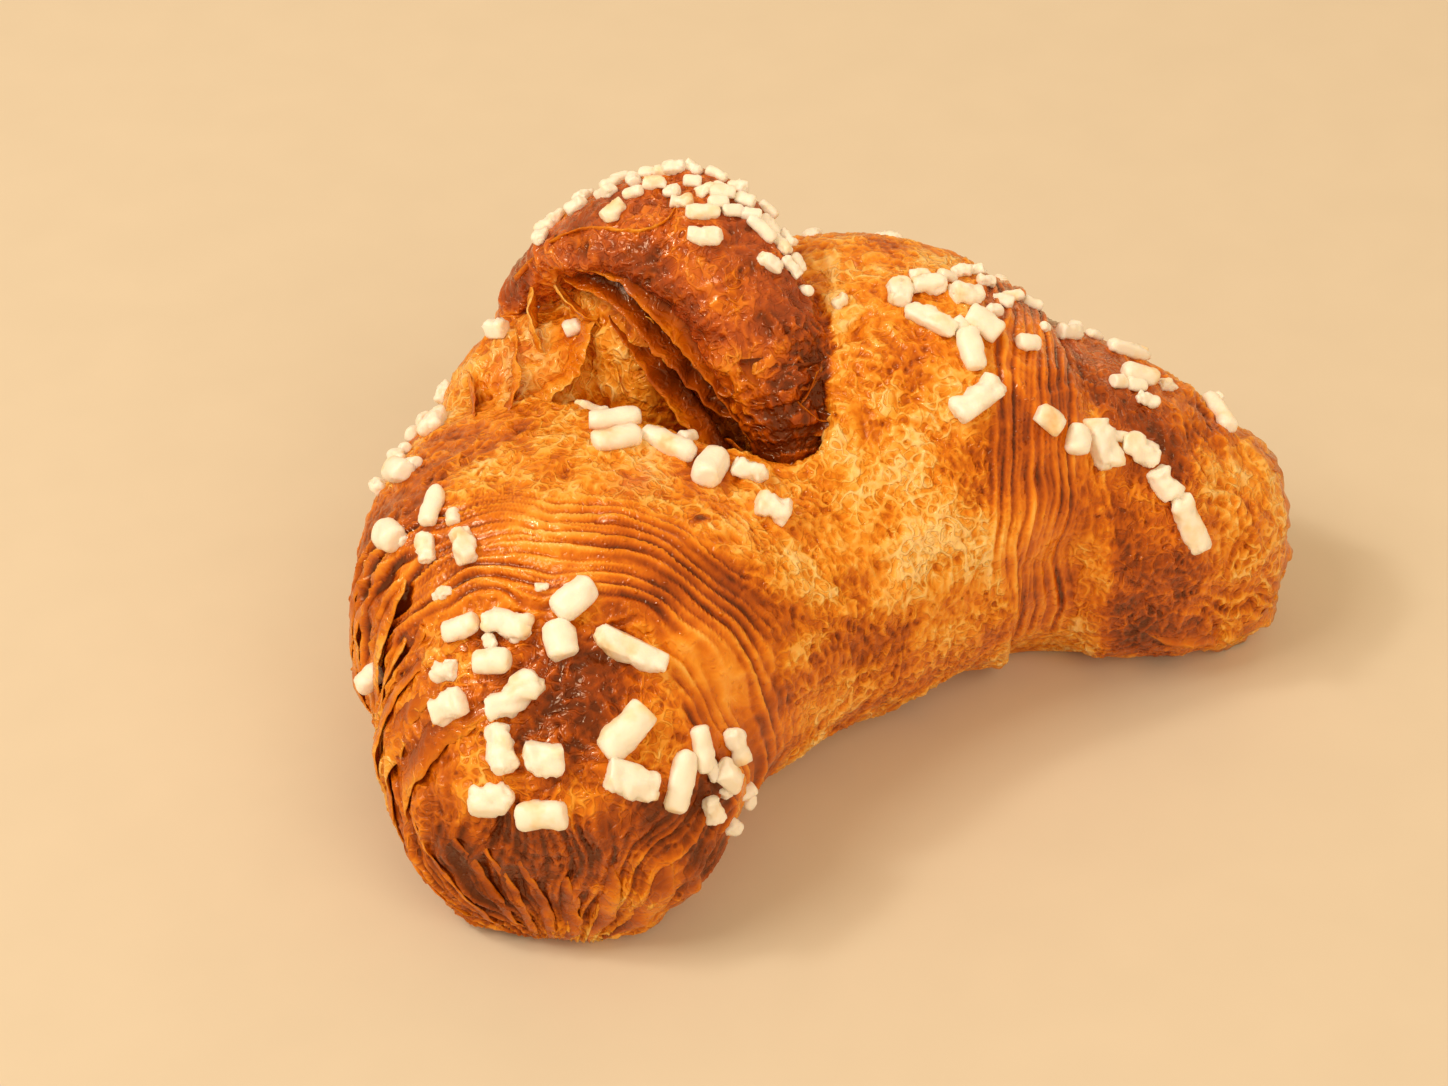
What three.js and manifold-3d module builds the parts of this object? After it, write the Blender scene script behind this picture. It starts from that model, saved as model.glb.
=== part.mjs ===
// A curved butter croissant with pearl sugar baked onto its crust. Millimetres, +Z up, resting on Z = 0.
// The baked dough is one solid: the broad belly of the roll, a horn tucked into each end of it, and the
// loose tip of the roll, which has sprung up over the middle as a curled tongue. Each sugar nib is its own
// small solid.
import * as THREE from "three";
import { mergeVertices } from "three/addons/utils/BufferGeometryUtils.js";
import Module from "manifold-3d";

const wasm = await Module();
wasm.setup();

// ---- Driving dimensions ----
const RING_SIDES = 36; // points around each section of the roll
const FOOT_SINK = 2.2; // how far the soft dough has flattened onto the tray
const BELLY_STEPS = 34; // sections along the belly
const HORN_STEPS = 14; // sections along each horn
const TONGUE_STEPS = 26; // sections along the tongue
const BAND_REACH = 4.5; // how far the rounded end of the belly runs past its last full section
const HORN_REACH = 8; // the same for the blunt end of a horn
const TONGUE_REACH = 4; // how far the tongue's point runs past its last section
const POCKET_REACH = 7; // how far each end of the pocket runs past its last full section
const NIB_SIDES = 8; // points around a sugar nib
const NIB_FLATNESS = 0.82; // height of a nib as a share of its width
const GAP = 0.3; // space between a nib and the crust under it
const LOCAL_SPREAD = 1.2; // how far around a nib the slope of the crust is felt

// The belly, as sections from the left band to the right band. Each has its foot on the bay side, its foot
// on the outer side, the height of its crest, how far the crest leans outwards, and how square it is (2 is
// an ellipse).
const BELLY = [
  { bay: [-18, -12], back: [-56.5, 28], tall: 47.5, lean: 0, square: 2.1 },
  { bay: [-14, -11], back: [-53, 38.5], tall: 50.5, lean: 0, square: 2.2 },
  { bay: [-9.5, -10], back: [-45.5, 49], tall: 51, lean: 0, square: 2.3 },
  { bay: [-2.5, -9.5], back: [-32, 60], tall: 50, lean: 0, square: 2.3 },
  { bay: [6, -9.5], back: [-15, 66], tall: 49, lean: 0, square: 2.3 },
  { bay: [14, -10], back: [3, 67], tall: 53, lean: 2, square: 2.3 },
  { bay: [21, -11], back: [21, 62], tall: 58, lean: 3, square: 2.2 },
  { bay: [28, -12], back: [37, 52], tall: 60, lean: 3, square: 2.2 },
  { bay: [34, -12.5], back: [49, 40], tall: 57, lean: 2, square: 2.3 },
  { bay: [38.5, -13], back: [56, 31], tall: 53, lean: 1, square: 2.3 },
];

// The horns, each a tapered wrap: a line of centres on the tray, with half width, height and squareness.
const LEFT_HORN = [
  { at: [-27, 20], wide: 26, tall: 46, square: 2.1 },
  { at: [-33, 13], wide: 26.5, tall: 45.5, square: 2.1 },
  { at: [-39, 6.5], wide: 26, tall: 44, square: 2.1 },
  { at: [-44.5, 0.5], wide: 24.5, tall: 40.5, square: 2.1 },
  { at: [-49, -4.5], wide: 20.5, tall: 35, square: 2.1 },
];
const RIGHT_HORN = [
  { at: [37, 15], wide: 24, tall: 50, square: 2.2 },
  { at: [46, 7.5], wide: 23, tall: 49.5, square: 2.2 },
  { at: [55, 0], wide: 21.5, tall: 45, square: 2.2 },
  { at: [63, -6.5], wide: 19, tall: 39.5, square: 2.2 },
  { at: [70, -12], wide: 14.5, tall: 32, square: 2.2 },
];

// The tongue's centre line from its root on the back of the belly, over the top and down into the pocket,
// with its half width, half thickness and the sideways lean of its right edge.
const TONGUE = [
  { at: [2, 58, 22], wide: 18, thick: 8, lean: 0 },
  { at: [3, 61, 41], wide: 16.5, thick: 5.5, lean: 0 },
  { at: [4, 59, 56], wide: 14, thick: 5, lean: 0.1 },
  { at: [6, 51, 64.5], wide: 12.5, thick: 5, lean: 0.15 },
  { at: [9, 41, 65.5], wide: 10.5, thick: 5.5, lean: 0.25 },
  { at: [10.5, 31, 59.5], wide: 9, thick: 6, lean: 0.35 },
  { at: [10.5, 22, 50], wide: 7.5, thick: 6, lean: 0.4 },
  { at: [9, 15.5, 37.5], wide: 5.5, thick: 5, lean: 0.4 },
];

// The pocket under the tongue: a trough from the back of the left arm to the tongue's tip.
const POCKET = [
  { at: [-19, 51, 58], wide: 7, deep: 8 },
  { at: [-9, 41, 56], wide: 9, deep: 15 },
  { at: [0, 29, 54], wide: 9.5, deep: 21 },
  { at: [6.5, 16, 52], wide: 7, deep: 19 },
];

// The lumps of inner roll behind the pocket, which the tongue leans on, as centre and half sizes.
const INNER_LUMPS = [
  { at: [-7, 53, 34], size: [19, 13, 18] },
  { at: [9, 55, 42], size: [17, 10, 19] },
  { at: [4, 47, 41], size: [12, 14, 20] },
];

// The pearl sugar on each part of the crust. Each row is one nib: where it lies seen from above (x, y), its
// length, its width, and its turn on the crust in degrees.
const SUGAR = {
  left_horn: [
    [-49.5, 14, 5, 3.2, -35],
    [-45.5, 9.5, 6.5, 3.6, -55],
    [-49.5, 7, 5, 3.4, -40],
    [-37.5, 5.5, 6, 4.2, 10],
    [-42, 2.5, 5, 4.2, 65],
    [-35, -3, 9.5, 3.9, -55],
    [-49.5, 1.5, 8, 3.9, 0],
    [-54, 11.5, 3.5, 2.9, -50],
    [-56, 7.5, 4.5, 4, -15],
    [-54.5, -2, 6.5, 3.8, 60],
    [-51, -6.5, 5, 3.8, -35],
    [-58, -3.5, 5.5, 4.2, -15],
    [-53.5, -9, 6.5, 4, -10],
    [-40.5, -9.5, 8, 4.6, 20],
    [-43, -14, 7, 4.2, -40],
    [-36.5, -15.5, 8, 3.6, 52],
    [-31.5, -14, 6, 2.9, 80],
    [-32.5, -17.2, 4, 2.6, -85],
    [-29, -15.8, 4.4, 3.4, -55],
    [-26, -14, 5, 2.8, -80],
  ],
  left_arm: [
    [-29, 52, 5, 3.4, 40],
    [-39, 45, 6, 3.8, 80],
    [-47.5, 34, 5, 4.2, 80],
    [-42.5, 31, 6, 2.9, 35],
    [-46.5, 26.5, 4, 2.6, 50],
    [-43.5, 22, 5, 3.4, 65],
  ],
  pocket_rim: [
    [-14, 35.5, 5.3, 2.9, -25],
    [-14, 29, 7, 3.4, -25],
    [-17, 24.5, 6.5, 3.6, -15],
    [-11, 20.5, 8, 3.4, -70],
    [-9, 13.5, 6, 4.4, 35],
    [-4.5, 11, 4.4, 3.4, -55],
    [-5.5, 4.5, 4.8, 4, -45],
  ],
  tongue: [
    [0.5, 48.5, 3.6, 2.5, 5],
    [7.5, 48, 3, 2.1, -55],
    [11.5, 49, 3, 2.1, -35],
    [9, 39, 4.6, 2.3, -32],
    [7, 36, 4.6, 2.5, -34],
    [13.5, 40.5, 3.6, 2.2, -40],
    [15, 33.5, 4.8, 2.2, -72],
    [13, 29, 3.6, 2, -55],
  ],
  right_arm: [
    [29, 18.5, 4.5, 3.1, 60],
    [33, 17, 4.7, 3.2, -35],
    [36.5, 13.5, 4.6, 3.4, -20],
    [29.5, 12, 7.2, 3.2, -68],
    [35, 8, 5.3, 3.8, -65],
    [31, 5.5, 6.2, 3.5, 70],
    [28, 0.5, 7.5, 3.9, 8],
    [40.5, 4, 3.5, 2.5, -20],
    [53, 9, 4.8, 2.5, 0],
    [61, 4.5, 7, 2.4, -15],
    [57.5, -1.5, 5.8, 3.2, -26],
    [36.5, -5, 4.2, 3.4, -60],
    [40, -7.5, 4.1, 3.5, 57],
    [44.5, -8.5, 7, 4.2, 85],
    [49.5, -11, 5.6, 3.6, -48],
    [51, -15, 4.4, 3.5, -80],
    [53, -19, 9, 4, -80],
    [70, -6.5, 7.5, 3.2, 65],
  ],
};

// ---- Solids ----
// Rings joined into one closed skin, ending on a point at each end.
function skin(rings, first, last) {
  const sides = rings[0].length;
  const points = [first, ...rings.flat(), last];
  const faces = [];
  const at = (ring, side) => 1 + ring * sides + (side % sides);
  for (let s = 0; s < sides; s++) {
    faces.push(0, at(0, s + 1), at(0, s));
    for (let r = 0; r + 1 < rings.length; r++) {
      faces.push(at(r, s), at(r, s + 1), at(r + 1, s));
      faces.push(at(r, s + 1), at(r + 1, s + 1), at(r + 1, s));
    }
    faces.push(points.length - 1, at(rings.length - 1, s), at(rings.length - 1, s + 1));
  }
  const geometry = new THREE.BufferGeometry().setFromPoints(points);
  return geometry.setIndex(faces);
}

function solidOf(geometry) {
  const bare = new THREE.BufferGeometry().setAttribute("position", geometry.getAttribute("position"));
  const merged = mergeVertices(bare.setIndex(geometry.index), 1e-4);
  const vertProperties = new Float32Array(merged.getAttribute("position").array);
  const solid = new wasm.Manifold(
    new wasm.Mesh({ numProp: 3, vertProperties, triVerts: new Uint32Array(merged.index.array) }),
  );
  if (solid.volume() < 0) throw new Error("skin is inside out");
  return solid;
}

function geometryOf(solid) {
  const mesh = solid.getMesh();
  const geometry = new THREE.BufferGeometry();
  geometry.setAttribute("position", new THREE.BufferAttribute(mesh.vertProperties, 3));
  geometry.setIndex(new THREE.BufferAttribute(mesh.triVerts, 1));
  return geometry;
}

// A ring of points around a centre, from a half-width vector and a half-thickness vector.
function ring(centre, side, lift, square = 2, sides = RING_SIDES) {
  return Array.from({ length: sides }, (_, i) => {
    const turn = (i / sides) * 2 * Math.PI;
    const [c, s] = [Math.cos(turn), Math.sin(turn)];
    return centre
      .clone()
      .addScaledVector(side, Math.sign(c) * Math.abs(c) ** (2 / square))
      .addScaledVector(lift, Math.sign(s) * Math.abs(s) ** (2 / square));
  });
}

// Evenly spaced numbers, smoothly run through, at t from 0 to 1.
function smooth(numbers, t) {
  const curve = new THREE.CatmullRomCurve3(numbers.map((number) => new THREE.Vector3(number, 0, 0)));
  return curve.getPoint(t).x;
}

// A list's numbers under one name, run through.
function along(list, name, t) {
  return smooth(list.map((key) => key[name]), t);
}

// The same for a list's points. Those that leave out their height lie on the tray.
function pointAlong(list, name, t) {
  const [x, y, z] = [0, 1, 2].map((axis) => smooth(list.map((key) => key[name][axis] ?? 0), t));
  return new THREE.Vector3(x, y, z);
}

// One section of the belly at t, pushed past the end by `past` and shrunk to `share` of its size.
function bellyRing(t, past = 0, share = 1) {
  const bay = pointAlong(BELLY, "bay", t);
  const back = pointAlong(BELLY, "back", t);
  const half = (along(BELLY, "tall", t) + FOOT_SINK) / 2;
  const side = back.clone().sub(bay).multiplyScalar(0.5);
  const ahead = new THREE.Vector3(side.y, -side.x, 0).normalize();
  const centre = bay.clone().add(back).multiplyScalar(0.5).addScaledVector(ahead, past);
  centre.z = half - FOOT_SINK;
  const lift = new THREE.Vector3(0, 0, half);
  lift.addScaledVector(side.clone().normalize(), along(BELLY, "lean", t));
  side.multiplyScalar(share);
  lift.multiplyScalar(share);
  return { centre, points: ring(centre, side, lift, along(BELLY, "square", t)) };
}

// What is left of a section's size at x of the way round the band's end.
function bandShare(x) {
  return (1 - x ** 2.5) ** 0.4;
}

// The belly is a fan of sections, rounded off past the band at each end.
function bellySolid() {
  const rounding = [0.25, 0.5, 0.75, 0.93];
  const rings = [];
  for (const x of rounding.toReversed()) {
    rings.push(bellyRing(0, -BAND_REACH * x, bandShare(x)).points);
  }
  for (let i = 0; i <= BELLY_STEPS; i++) {
    rings.push(bellyRing(i / BELLY_STEPS).points);
  }
  for (const x of rounding) {
    rings.push(bellyRing(1, BAND_REACH * x, bandShare(x)).points);
  }
  return solidOf(skin(rings, bellyRing(0, -BAND_REACH).centre, bellyRing(1, BAND_REACH).centre));
}

// One section of a horn at t, pushed past its end by `past` and shrunk to `share` of its size.
function hornRing(keys, t, past, share) {
  const before = pointAlong(keys, "at", Math.max(0, t - 0.05));
  const way = pointAlong(keys, "at", Math.min(1, t + 0.05)).sub(before);
  const ahead = pointAlong(keys, "at", 1).sub(pointAlong(keys, "at", 0.9)).normalize();
  const half = (along(keys, "tall", t) + FOOT_SINK) / 2;
  const centre = pointAlong(keys, "at", t).addScaledVector(ahead, past);
  centre.z = half - FOOT_SINK;
  const side = new THREE.Vector3(-way.y, way.x, 0).setLength(along(keys, "wide", t) * share);
  const lift = new THREE.Vector3(0, 0, half * share);
  return { centre, points: ring(centre, side, lift, along(keys, "square", t)) };
}

// A horn starts inside the belly and ends blunt.
function hornSolid(keys) {
  const rings = [];
  for (let i = 0; i <= HORN_STEPS; i++) {
    rings.push(hornRing(keys, i / HORN_STEPS, 0, 1).points);
  }
  for (const x of [0.35, 0.62, 0.82, 0.95]) {
    rings.push(hornRing(keys, 1, HORN_REACH * x, Math.sqrt(1 - x * x)).points);
  }
  return solidOf(skin(rings, hornRing(keys, 0, 0, 1).centre, hornRing(keys, 1, HORN_REACH, 0).centre));
}

// The tongue keeps its width level, apart from its lean, while its line climbs and falls.
function tongueSolid() {
  const line = new THREE.CatmullRomCurve3(TONGUE.map(({ at }) => new THREE.Vector3(...at)));
  const rings = [];
  for (let i = 0; i <= TONGUE_STEPS; i++) {
    const t = i / TONGUE_STEPS;
    const ahead = line.getTangent(t);
    const level = new THREE.Vector3(1, 0, along(TONGUE, "lean", t));
    const side = level.clone().addScaledVector(ahead, -ahead.dot(level)).normalize();
    const lift = new THREE.Vector3().crossVectors(ahead, side);
    side.multiplyScalar(along(TONGUE, "wide", t));
    lift.multiplyScalar(along(TONGUE, "thick", t));
    rings.push(ring(line.getPoint(t), side, lift));
  }
  const tip = line.getPoint(1).addScaledVector(line.getTangent(1), TONGUE_REACH);
  return solidOf(skin(rings, line.getPoint(0), tip));
}

// The pocket is a trough with a rounded end past each end of its line.
function pocketSolid() {
  const way = pointAlong(POCKET, "at", 1).sub(pointAlong(POCKET, "at", 0)).setZ(0).normalize();
  const section = (t, past) => {
    const share = Math.sqrt(1 - past * past);
    const centre = pointAlong(POCKET, "at", t).addScaledVector(way, POCKET_REACH * past);
    const side = new THREE.Vector3(-way.y, way.x, 0).setLength(along(POCKET, "wide", t) * share);
    const lift = new THREE.Vector3(0, 0, along(POCKET, "deep", t) * share);
    return { centre, points: ring(centre, side, lift) };
  };
  const rounding = [0.3, 0.6, 0.9];
  const rings = [];
  for (const past of rounding.toReversed()) {
    rings.push(section(0, -past).points);
  }
  for (let i = 0; i <= 10; i++) {
    rings.push(section(i / 10, 0).points);
  }
  for (const past of rounding) {
    rings.push(section(1, past).points);
  }
  return solidOf(skin(rings, section(0, -0.92).centre, section(1, 0.92).centre));
}

function lumpSolid({ at, size }) {
  return solidOf(new THREE.SphereGeometry(1, 28, 14).scale(...size).translate(...at));
}

// ---- The dough ----
const underTray = solidOf(new THREE.BoxGeometry(300, 300, 40).translate(0, 0, -20));
const roll = bellySolid().add(hornSolid(LEFT_HORN)).add(hornSolid(RIGHT_HORN)).subtract(pocketSolid());
const filled = INNER_LUMPS.map(lumpSolid).reduce((joined, lump) => joined.add(lump), roll);
const dough = filled.add(tongueSolid()).subtract(underTray);

// ---- The sugar nibs ----
// The crust straight below a point seen from above.
const caster = new THREE.Raycaster();
function crustUnder(mesh, x, y) {
  caster.set(new THREE.Vector3(x, y, 200), new THREE.Vector3(0, 0, -1));
  return caster.intersectObject(mesh)[0];
}

// The crust's height and smoothed outward direction around (x, y).
function restingPlace(mesh, x, y) {
  const around = [[0, 0], [1, 0], [-1, 0], [0, 1], [0, -1]];
  const hits = around
    .map(([dx, dy]) => crustUnder(mesh, x + dx * LOCAL_SPREAD, y + dy * LOCAL_SPREAD))
    .filter(Boolean);
  const normal = hits.reduce((sum, hit) => sum.add(hit.face.normal), new THREE.Vector3()).normalize();
  return { point: hits[0].point, normal };
}

// A nib is a short rounded rod, a little flattened, lifted off the crust until the gap is clear.
function nibSolid(mesh, [x, y, length, wide, turn]) {
  const { point, normal } = restingPlace(mesh, x, y);
  const flat = new THREE.Vector3(1, 0, 0).addScaledVector(normal, -normal.x).normalize();
  const axis = flat.applyAxisAngle(normal, THREE.MathUtils.degToRad(turn));
  const side = new THREE.Vector3().crossVectors(normal, axis);
  const radius = wide / 2;
  const upright = normal.clone().multiplyScalar(NIB_FLATNESS * radius);
  const centre = point.clone().add(upright).addScaledVector(normal, GAP);
  const ends = length / 2;
  const stations = [
    [-ends + 0.12 * radius, 0.62],
    [-ends + 0.55 * radius, 0.94],
    [0, 1],
    [ends - 0.55 * radius, 0.95],
    [ends - 0.12 * radius, 0.6],
  ];
  const build = () => {
    const rings = stations.map(([shift, share]) => {
      const middle = centre.clone().addScaledVector(axis, shift);
      const across = side.clone().multiplyScalar(radius * share);
      return ring(middle, across, upright.clone().multiplyScalar(share), 2, NIB_SIDES);
    });
    const tip = (way) => centre.clone().addScaledVector(axis, way * ends);
    return solidOf(skin(rings, tip(-1), tip(1)));
  };
  let nib = build();
  for (let tries = 0; tries < 40 && nib.minGap(dough, 2) < GAP; tries++) {
    centre.addScaledVector(normal, 0.1);
    nib = build();
  }
  return nib;
}

// ---- The whole croissant ----
const crust = new THREE.MeshStandardMaterial({ color: 0xd08a35, roughness: 0.5, metalness: 0 });
const sugar = new THREE.MeshStandardMaterial({ color: 0xf4ead8, roughness: 0.55, metalness: 0 });

const croissant = new THREE.Group();
const body = new THREE.Mesh(geometryOf(dough), crust);
body.name = "croissant_dough";
croissant.add(body);

for (const [place, nibs] of Object.entries(SUGAR)) {
  nibs.forEach((nib, i) => {
    const mesh = new THREE.Mesh(geometryOf(nibSolid(body, nib)), sugar);
    mesh.name = `sugar_${place}_${String(i + 1).padStart(2, "0")}`;
    croissant.add(mesh);
  });
}

// The origin is the middle of the footprint, on the tray.
const bounds = new THREE.Box3().setFromObject(croissant);
const middle = bounds.getCenter(new THREE.Vector3());
croissant.children.forEach((mesh) => mesh.geometry.translate(-middle.x, -middle.y, -bounds.min.z));

export default croissant;
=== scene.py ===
import math
import bpy
import numpy as np
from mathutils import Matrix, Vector
from mathutils.bvhtree import BVHTree


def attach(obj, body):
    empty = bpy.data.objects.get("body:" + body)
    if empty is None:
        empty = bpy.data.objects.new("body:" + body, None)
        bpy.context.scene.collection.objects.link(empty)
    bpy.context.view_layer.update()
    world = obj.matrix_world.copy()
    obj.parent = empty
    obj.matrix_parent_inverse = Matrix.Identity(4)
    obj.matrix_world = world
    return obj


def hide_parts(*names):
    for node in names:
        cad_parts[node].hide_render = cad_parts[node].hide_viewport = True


# A curved butter croissant with pearl sugar, built round its CAD frame.
# The scene is in metres, and the recipes are in millimetres.
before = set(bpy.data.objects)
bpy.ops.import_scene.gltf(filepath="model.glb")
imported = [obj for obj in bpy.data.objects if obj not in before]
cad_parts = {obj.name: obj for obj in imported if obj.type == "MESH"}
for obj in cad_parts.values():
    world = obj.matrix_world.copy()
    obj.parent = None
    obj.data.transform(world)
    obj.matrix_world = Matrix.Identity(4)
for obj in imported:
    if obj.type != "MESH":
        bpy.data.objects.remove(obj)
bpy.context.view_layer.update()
mm = 0.001
chance = np.random.default_rng(7)
print("frame loaded:", len(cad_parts), "nodes")

# the roll of dough as it lies, seen from above, in mm
roll = {
    "leftEdge": ((-25.9, -33.3), (-64.4, 6.7)),  # last full section of the left band, bay foot to back foot
    "rightEdge": ((30.6, -34.3), (48.1, 9.7)),  # the same on the right band
    "wideFan": (14.0, -75.0),  # where the sections of the whole roll would meet
    "wideReach": 80.0,  # radius at which a degree of the fan has its true length
    # the tongue: x, y, z, half width, half thickness
    "tongue": [(-5.9, 36.7, 22, 18, 8), (-4.9, 39.7, 41, 16.5, 5.5), (-3.9, 37.7, 56, 14, 5),
               (-1.9, 29.7, 64.5, 12.5, 5), (1.1, 19.7, 65.5, 10.5, 5.5), (2.6, 9.7, 59.5, 9, 6),
               (2.6, 0.7, 50, 7.5, 6), (1.1, -5.8, 37.5, 5.5, 5)],
}


def linearColour(hexText):  # sRGB hex to linear, as the shader wants it
    parts = [int(hexText[i:i + 2], 16) / 255 for i in (1, 3, 5)]
    return [c / 12.92 if c <= 0.04045 else ((c + 0.055) / 1.055) ** 2.4 for c in parts] + [1.0]


def smooth(low, high, value):  # 0 below low, 1 above high, eased between
    t = np.clip((value - low) / (high - low), 0, 1)
    return t * t * (3 - 2 * t)


gradientCount = 1024
gradients = chance.normal(size=(gradientCount, 3))
gradients /= np.linalg.norm(gradients, axis=1)[:, None]


def latticeHash(cell, seed):
    mixed = cell[:, 0] * 73856093 ^ cell[:, 1] * 19349663 ^ cell[:, 2] * 83492791 ^ (seed * 2654435761)
    return (mixed ^ (mixed >> 13)) % gradientCount


def noiseAt(points, seed=0):  # smooth noise, about -0.7 to 0.7
    cell = np.floor(points).astype(np.int64)
    part = points - cell
    ease = part ** 3 * (part * (part * 6 - 15) + 10)
    total = np.zeros(len(points))
    for corner in np.ndindex(2, 2, 2):
        step = np.array(corner)
        grad = gradients[latticeHash(cell + step, seed)]
        share = np.prod(np.where(step, ease, 1 - ease), axis=1)
        total += share * np.einsum("ij,ij->i", grad, part - step)
    return total


def cloudAt(points, octaves, seed=0):  # noise over several octaves
    return sum(noiseAt(points * 2 ** i, seed + i) / 2 ** i for i in range(octaves))


def crestsAt(points, width, seed=0):  # thin winding crest lines, 1 on the line
    return np.clip(1 - np.abs(noiseAt(points, seed)) / width, 0, 1)


def cellsAt(points, seed=0):  # nearest and second nearest cell point, and the tilt of the nearest cell
    cell = np.floor(points).astype(np.int64)
    near = np.full(len(points), 9.0)
    second = np.full(len(points), 9.0)
    tilt = np.zeros(len(points))
    for step in np.ndindex(3, 3, 3):
        spot = cell + np.array(step) - 1
        chosen = latticeHash(spot, seed)
        heart = spot + 0.5 + 0.42 * gradients[(chosen * 7 + 3) % gradientCount]
        away = points - heart
        distance = np.linalg.norm(away, axis=1)
        closer = distance < near
        second = np.where(closer, near, np.minimum(second, distance))
        tilt = np.where(closer, np.einsum("ij,ij->i", gradients[(chosen * 5 + 11) % gradientCount], away), tilt)
        near = np.where(closer, distance, near)
    return near, second, tilt


def smoothLine(keys, steps):  # a smooth line through given keys, any number of values in each
    keys = np.array(keys, float)
    padded = np.vstack([2 * keys[0] - keys[1], keys, 2 * keys[-1] - keys[-2]])
    t = np.linspace(0, len(keys) - 1, steps)
    i = np.minimum(t.astype(int), len(keys) - 2)
    f = (t - i)[:, None]
    a, b, c, d = padded[i], padded[i + 1], padded[i + 2], padded[i + 3]
    return 0.5 * (2 * b + (c - a) * f + (2 * a - 5 * b + 4 * c - d) * f ** 2 + (3 * b - a - 3 * c + d) * f ** 3)


def meshObject(name, points, faces):
    mesh = bpy.data.meshes.new(name)
    mesh.from_pydata([tuple(p) for p in points], [], [tuple(f) for f in faces])
    mesh.validate()
    obj = bpy.data.objects.new(name, mesh)
    bpy.context.scene.collection.objects.link(obj)
    mesh.shade_smooth()
    return obj


def pointsOf(mesh):
    flat = np.empty(len(mesh.vertices) * 3)
    mesh.vertices.foreach_get("co", flat)
    return flat.reshape(-1, 3)


def normalsOf(mesh):
    flat = np.empty(len(mesh.vertices) * 3)
    mesh.vertex_normals.foreach_get("vector", flat)
    return flat.reshape(-1, 3)


def setPoints(mesh, points):
    mesh.vertices.foreach_set("co", points.ravel())
    mesh.update()


def edgesOf(mesh):
    flat = np.empty(len(mesh.edges) * 2, dtype=np.int64)
    mesh.edges.foreach_get("vertices", flat)
    return flat.reshape(-1, 2)


def relax(values, edges, rounds, rate=0.5):  # spreads values along the mesh's edges
    count = len(values)
    valence = np.bincount(edges.ravel(), minlength=count).astype(float)
    columns = values.reshape(count, -1).copy()
    for _ in range(rounds):
        for k in range(columns.shape[1]):
            column = columns[:, k]
            total = np.bincount(edges[:, 0], column[edges[:, 1]], count)
            total += np.bincount(edges[:, 1], column[edges[:, 0]], count)
            columns[:, k] = column + rate * (total / valence - column)
    return columns.reshape(values.shape)


def keepAttribute(mesh, name, values):
    layer = mesh.attributes.new(name, "FLOAT", "POINT")
    layer.data.foreach_set("value", values.astype(np.float32))


def newMaterial(name):
    material = bpy.data.materials.new(name)
    material.use_nodes = True
    return material, material.node_tree, material.node_tree.nodes["Principled BSDF"]


def addNode(tree, kind, settings=None, links=None):  # one node: its own settings, then {socket: value or output}
    node = tree.nodes.new(kind)
    for key, value in (settings or {}).items():
        setattr(node, key, value)
    for key, value in (links or {}).items():
        socket = node.inputs[key]
        if isinstance(value, bpy.types.NodeSocket):
            tree.links.new(value, socket)
        else:
            socket.default_value = value
    return node


def setRamp(node, stops):  # stops: (position, hex or grey value)
    ramp = node.color_ramp
    while len(ramp.elements) > 1:
        ramp.elements.remove(ramp.elements[-1])
    for i, (position, colour) in enumerate(stops):
        element = ramp.elements[0] if i == 0 else ramp.elements.new(position)
        element.position = position
        element.color = linearColour(colour) if isinstance(colour, str) else (colour, colour, colour, 1)
    return node.outputs["Color"]


# the dough: its skin and its relief, heights and depths in mm
dough = {
    "voxel": 0.38,  # mm between points of the finished skin
    "rounding": 26,  # how often the CAD facets are evened out
    "lumps": 0.8,  # soft unevenness of the risen dough
    "crumples": 1.6,  # depth of the broad crumples in the paler skin
    "wrinkles": 0.40,  # height of the fine winding wrinkles
    "flakes": 0.34,  # lift of the little flakes
    "layers": 0.62,  # height of the layer edges on the left arm
    "strands": 0.48,  # height of the stretched strands on the right arm
    "flapStep": 1.9,  # how far the right horn lies under the belly's last flap
    "folds": 1.8,  # depth of the folds on the outer left side, where the layers sprang apart
    "fans": 0.75,  # height of the fanned layers at the end of the left horn
    "glazeLumps": 1.0,  # lumps in the pooled glaze on the left horn
    "ledges": 0.6,  # the stacked layer edges at the tongue's tip
    "meniscus": 0.5,  # how far the glaze climbs a nib
}


def alongRoll(points):  # distance along the roll, outward distance and height
    fan = np.array(roll["wideFan"])
    away = points[:, :2] - fan
    return np.arctan2(-away[:, 0], away[:, 1]) * roll["wideReach"], np.linalg.norm(away, axis=1), points[:, 2]


def edgeWays(edge):  # the foot of a band's edge, the way along it, and the way out towards the horn
    foot, back = np.array(edge[0]), np.array(edge[1])
    way = (back - foot) / np.linalg.norm(back - foot)
    outward = np.array([-way[1], way[0]]) if foot[0] < 0 else np.array([way[1], -way[0]])
    return foot, way, outward


def pastEdge(points, edge):  # how far a point lies past a band's last full section, towards the horn
    foot, _, outward = edgeWays(edge)
    return (points[:, :2] - foot) @ outward


def nearBlob(points, centre, reach):  # 1 at the centre, fading out at reach
    return np.exp(-2.2 * (np.linalg.norm((points - np.array(centre)) / np.array(reach), axis=1)) ** 2)


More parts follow.
